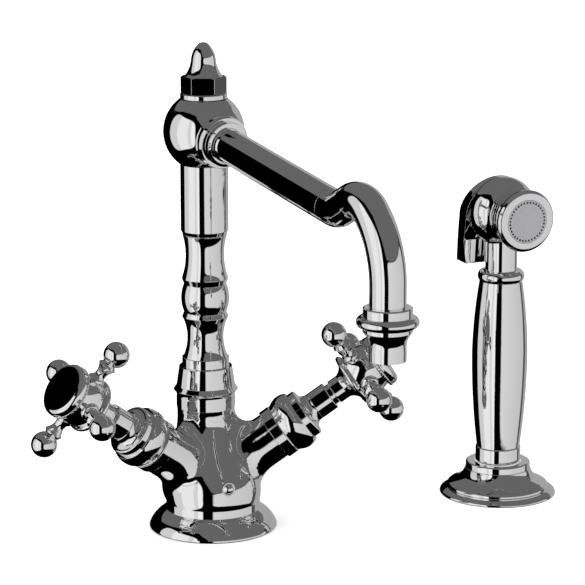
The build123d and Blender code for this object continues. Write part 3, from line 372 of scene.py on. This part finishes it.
class FAUCET_OT_rope_rings(Operator):
    """Build the twisted rope ring under each handle cap"""

    bl_idname = "faucet.rope_rings"
    bl_label = "Rope rings"

    def execute(self, context):
        settings = context.scene.faucet_rope
        plate = bpy.data.materials["chrome_plate"]
        for side in ("hot", "cold"):
            origin, across, third, along = valve_frame(side)
            points = rope_points(settings) @ np.array((across, third, along)) + origin
            mesh = grid_mesh(f"{side}_rope", points)
            ring = add_piece(f"{side}_rope", mesh, plate, f"{side}_handle")
            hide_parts(f"{side}_rope_ring")
        return {"FINISHED"}


# ---- stage ----
def studio_light(graph, settings, turn):
    """Brightness of the studio in each direction, judged from the photograph's reflections.

    A tall soft light stands at the left, a long low one at the right and a dimmer one at the far right,
    behind the faucet. A dark gap lies between left and right, and a dim ceiling closes the top.
    """
    direction = graph.node("ShaderNodeTexCoord").outputs["Generated"]
    right = graph.dot(direction, (np.cos(turn), np.sin(turn), 0))
    toward = graph.dot(direction, (np.sin(turn), -np.cos(turn), 0))
    azimuth = graph.math("DEGREES", graph.math("ARCTAN2", right, toward))
    height = graph.math("DEGREES", graph.math("ARCSINE", graph.dot(direction, (0, 0, 1))))
    share = graph.math("MULTIPLY_ADD", azimuth, 1 / 360, 0.5)

    def round_about(levels):
        """Curve through (azimuth, level) pairs."""
        return graph.ramp(share, [(angle / 360 + 0.5, level) for angle, level in levels])

    def window(middle, half, level, rise, power, soft):
        """A soft light with rounded corners."""
        parts = []
        for value, centre, reach in ((azimuth, middle, half), (height, level, rise)):
            offset = graph.math("SUBTRACT", value, centre)
            distance = graph.math("ABSOLUTE", graph.math("MULTIPLY", offset, 1 / reach))
            parts.append(graph.math("POWER", distance, power))
        return graph.smooth(graph.math("ADD", *parts), 1 + soft, 1 - soft)

    rights = graph.math("MAXIMUM", window(*LOW_RIGHT_LIGHT), window(*FAR_RIGHT_LIGHT))
    windows = graph.math("MAXIMUM", window(*LEFT_LIGHT), rights)
    lights = graph.math("MULTIPLY", round_about(LIGHT_LEVELS), windows)
    above = graph.math("SUBTRACT", height, graph.math("MULTIPLY", round_about(CEILING_EDGE), 90))
    ceiling = graph.math("MULTIPLY", graph.smooth(above, -0.8, 0.8), settings.ceiling_grey)
    return graph.math("MAXIMUM", lights, ceiling)


def build_world(scene, settings):
    """World that shows the studio in reflections and plain white to the camera."""
    world = bpy.data.worlds.new("studio")
    scene.world = world
    world.use_nodes = True
    graph = Graph(world.node_tree)
    seen = graph.node("ShaderNodeLightPath").outputs["Is Camera Ray"]
    light = studio_light(graph, settings, settings.camera_turn)
    graph.put(world.node_tree.nodes["Background"].inputs["Color"], graph.math("MAXIMUM", light, seen))


def build_floor(settings):
    """Plain pale floor that the plating doesn't reflect."""
    made, graph, shader, place = new_material("pale_floor")
    shader.inputs["Base Color"].default_value = (*settings.floor_colour, 1)
    grain = graph.noise(place, 40, 2)
    graph.put(shader.inputs["Roughness"], graph.smooth(grain, 0.2, 0.8, 0.8, 0.95))
    bpy.ops.mesh.primitive_plane_add(size=FLOOR_SIZE)
    floor = bpy.context.object
    floor.name = "floor"
    floor.data.materials.append(made)
    floor.visible_glossy = False


def build_lamp(scene, settings):
    """Very broad overhead light, for the floor only."""
    data = bpy.data.lights.new("overhead", "SUN")
    data.energy = settings.lamp_strength
    data.angle = LAMP_SPREAD
    lamp = bpy.data.objects.new("overhead", data)
    lamp.visible_glossy = False
    scene.collection.objects.link(lamp)


def build_camera(scene, settings):
    """Camera at the photograph's angle."""
    turn, climb = settings.camera_turn, settings.camera_climb
    right = np.array((np.cos(turn), np.sin(turn), 0))
    back = np.array((np.sin(turn) * np.cos(climb), -np.cos(turn) * np.cos(climb), np.sin(climb)))
    up = np.cross(back, right)
    matrix = np.eye(4)
    matrix[:3, :3] = np.stack((right, up, back), axis=1)
    matrix[:3, 3] = matrix[:3, :3] @ np.array(settings.camera_place)
    data = bpy.data.cameras.new("camera")
    camera = bpy.data.objects.new("camera", data)
    scene.collection.objects.link(camera)
    camera.matrix_world = Matrix(matrix.tolist())
    data.sensor_width = SENSOR_WIDTH
    data.lens = settings.focal_length
    data.clip_start = 0.05
    scene.camera = camera


class FAUCET_OT_stage(Operator):
    """Build the studio: world, floor, lamp and camera"""

    bl_idname = "faucet.stage"
    bl_label = "Stage"

    def execute(self, context):
        settings = context.scene.faucet_stage
        build_world(context.scene, settings)
        build_floor(settings)
        build_lamp(context.scene, settings)
        build_camera(context.scene, settings)
        context.scene.view_settings.view_transform = "Standard"
        return {"FINISHED"}


class FAUCET_PT_panel(Panel):
    """Sidebar panel with all settings and build steps"""

    bl_label = "Side spray faucet"
    bl_idname = "FAUCET_PT_panel"
    bl_space_type = "VIEW_3D"
    bl_region_type = "UI"
    bl_category = "Faucet"

    def draw(self, context):
        groups = (
            (context.scene.faucet_finish, "faucet.finish"),
            (context.scene.faucet_rope, "faucet.rope_rings"),
            (context.scene.faucet_stage, "faucet.stage"),
        )
        for settings, step in groups:
            box = self.layout.box()
            for name in settings.__annotations__:
                box.prop(settings, name)
            box.operator(step)


classes = (
    FinishSettings, RopeSettings, StageSettings,
    FAUCET_OT_finish, FAUCET_OT_rope_rings, FAUCET_OT_stage, FAUCET_PT_panel,
)


def register():
    for item in classes:
        bpy.utils.register_class(item)
    bpy.types.Scene.faucet_finish = PointerProperty(type=FinishSettings)
    bpy.types.Scene.faucet_rope = PointerProperty(type=RopeSettings)
    bpy.types.Scene.faucet_stage = PointerProperty(type=StageSettings)


def unregister():
    del bpy.types.Scene.faucet_stage
    del bpy.types.Scene.faucet_rope
    del bpy.types.Scene.faucet_finish
    for item in reversed(classes):
        bpy.utils.unregister_class(item)


def main():
    """Build everything."""
    register()
    bpy.ops.faucet.finish()
    bpy.ops.faucet.rope_rings()
    bpy.ops.faucet.stage()


if __name__ == "__main__":
    main()
